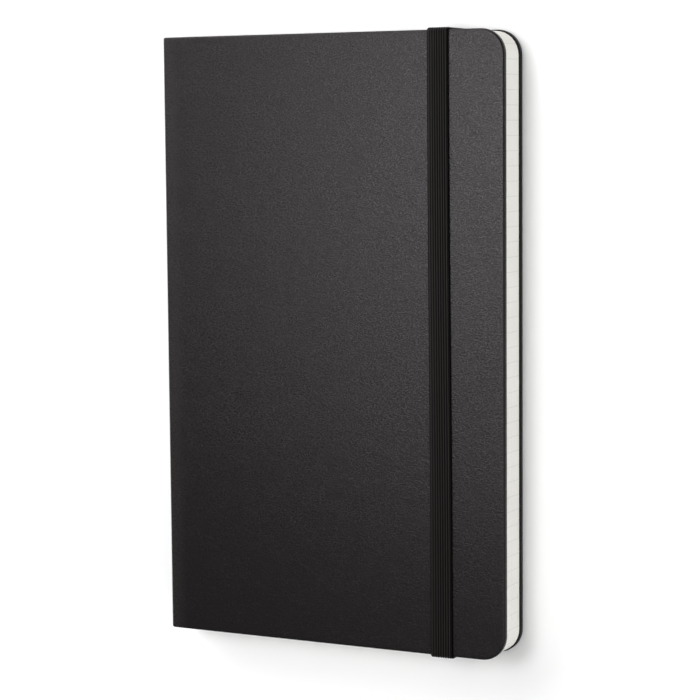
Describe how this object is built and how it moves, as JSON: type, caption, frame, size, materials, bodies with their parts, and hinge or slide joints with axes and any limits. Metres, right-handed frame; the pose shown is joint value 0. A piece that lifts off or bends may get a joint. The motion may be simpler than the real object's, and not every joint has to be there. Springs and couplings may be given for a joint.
{
  "type": "notebook",
  "caption": "Hard-cover sewn notebook in dark leatherette, with rounded fore-edge corners, squared leaves, a rear pocket and an elastic band across its front cover.",
  "frame": {"origin": "middle of the back cover's outer face, on the surface that the closed notebook lies on", "axes": "+X from the spine to the fore-edge, +Y from the tail to the head, +Z from the back cover up to the front cover"},
  "size_m": [0.13, 0.212, 0.017],
  "materials": {
    "leatherette": "fine pebbled charcoal leatherette, satin",
    "greyboard": "matt grey board",
    "endpaper": "smooth ivory card",
    "page": "uncoated ivory paper, squared",
    "elastic": "ribbed woven elastic, matt black",
    "gusset_cloth": "plain black cloth",
    "lining_cloth": "open-weave cotton lining",
    "sewing_thread": "waxed white thread"
  },
  "bodies": {
    "case_back": {"back_cover_leatherette": "leatherette", "back_cover_board": "greyboard", "back_cover_pastedown": "endpaper", "pocket_panel": "endpaper", "pocket_gusset_head": "gusset_cloth", "pocket_gusset_tail": "gusset_cloth", "elastic_end_head": "elastic", "elastic_end_tail": "elastic"},
    "case_spine": {"spine_leatherette": "leatherette", "spine_card": "greyboard", "spine_lining": "lining_cloth", "sewing_thread": "sewing_thread"},
    "case_front": {"front_cover_leatherette": "leatherette", "front_cover_board": "greyboard", "front_cover_pastedown": "endpaper"},
    "band": {"elastic_strand": "elastic"},
    "leaves_1": {"signature_1": "page", "front_flyleaf": "endpaper"},
    "leaves_2": {"signature_2": "page"},
    "leaves_3": {"signature_3": "page"},
    "leaves_4": {"signature_4": "page"},
    "leaves_5": {"signature_5": "page"},
    "leaves_6": {"signature_6": "page"},
    "leaves_7": {"signature_7": "page"},
    "leaves_8": {"signature_8": "page", "rear_flyleaf": "endpaper"}
  },
  "joints": [
    {"name": "spine_opening", "type": "hinge", "parent": "case_back", "child": "case_spine", "pos_m": [-0.0649, 0, 0.0001], "axis": [0, -1, 0], "range_deg": [0, 90]},
    {"name": "front_opening", "type": "hinge", "parent": "case_spine", "child": "case_front", "pos_m": [-0.0649, 0, 0.0159], "axis": [0, -1, 0], "range_deg": [0, 90]},
    {"name": "leaves_1_turn", "type": "hinge", "parent": "case_front", "child": "leaves_1", "pos_m": [-0.0632, 0, 0.01355], "axis": [0, 1, 0], "range_deg": [0, 0.6]},
    {"name": "leaves_2_turn", "type": "hinge", "parent": "case_front", "child": "leaves_2", "pos_m": [-0.0632, 0, 0.01207], "axis": [0, 1, 0], "range_deg": [0, 1.2]},
    {"name": "leaves_3_turn", "type": "hinge", "parent": "case_front", "child": "leaves_3", "pos_m": [-0.0632, 0, 0.0108], "axis": [0, 1, 0], "range_deg": [0, 1.8]},
    {"name": "leaves_4_turn", "type": "hinge", "parent": "case_front", "child": "leaves_4", "pos_m": [-0.0632, 0, 0.00952], "axis": [0, 1, 0], "range_deg": [0, 2.4]},
    {"name": "leaves_5_turn", "type": "hinge", "parent": "case_back", "child": "leaves_5", "pos_m": [-0.0632, 0, 0.00703], "axis": [0, -1, 0], "range_deg": [0, 2.4]},
    {"name": "leaves_6_turn", "type": "hinge", "parent": "case_back", "child": "leaves_6", "pos_m": [-0.0632, 0, 0.00575], "axis": [0, -1, 0], "range_deg": [0, 1.8]},
    {"name": "leaves_7_turn", "type": "hinge", "parent": "case_back", "child": "leaves_7", "pos_m": [-0.0632, 0, 0.00448], "axis": [0, -1, 0], "range_deg": [0, 1.2]},
    {"name": "leaves_8_turn", "type": "hinge", "parent": "case_back", "child": "leaves_8", "pos_m": [-0.0632, 0, 0.003], "axis": [0, -1, 0], "range_deg": [0, 0.6]},
    {"name": "band_slide", "type": "slide", "parent": "case_back", "child": "band", "axis": [1, 0, 0], "range_m": [0, 0.0285], "deforming": ["elastic_strand", "elastic_end_head", "elastic_end_tail"]}
  ],
  "couplings": [
    {"joint": "front_opening", "follows": "spine_opening", "ratio": 1},
    {"joint": "leaves_1_turn", "follows": "spine_opening", "ratio": 0.0066667},
    {"joint": "leaves_2_turn", "follows": "spine_opening", "ratio": 0.013333},
    {"joint": "leaves_3_turn", "follows": "spine_opening", "ratio": 0.02},
    {"joint": "leaves_4_turn", "follows": "spine_opening", "ratio": 0.026667},
    {"joint": "leaves_5_turn", "follows": "spine_opening", "ratio": 0.026667},
    {"joint": "leaves_6_turn", "follows": "spine_opening", "ratio": 0.02},
    {"joint": "leaves_7_turn", "follows": "spine_opening", "ratio": 0.013333},
    {"joint": "leaves_8_turn", "follows": "spine_opening", "ratio": 0.0066667},
    {"joint": "band_slide", "follows": "spine_opening", "m_per_rad": 0.018143}
  ]
}
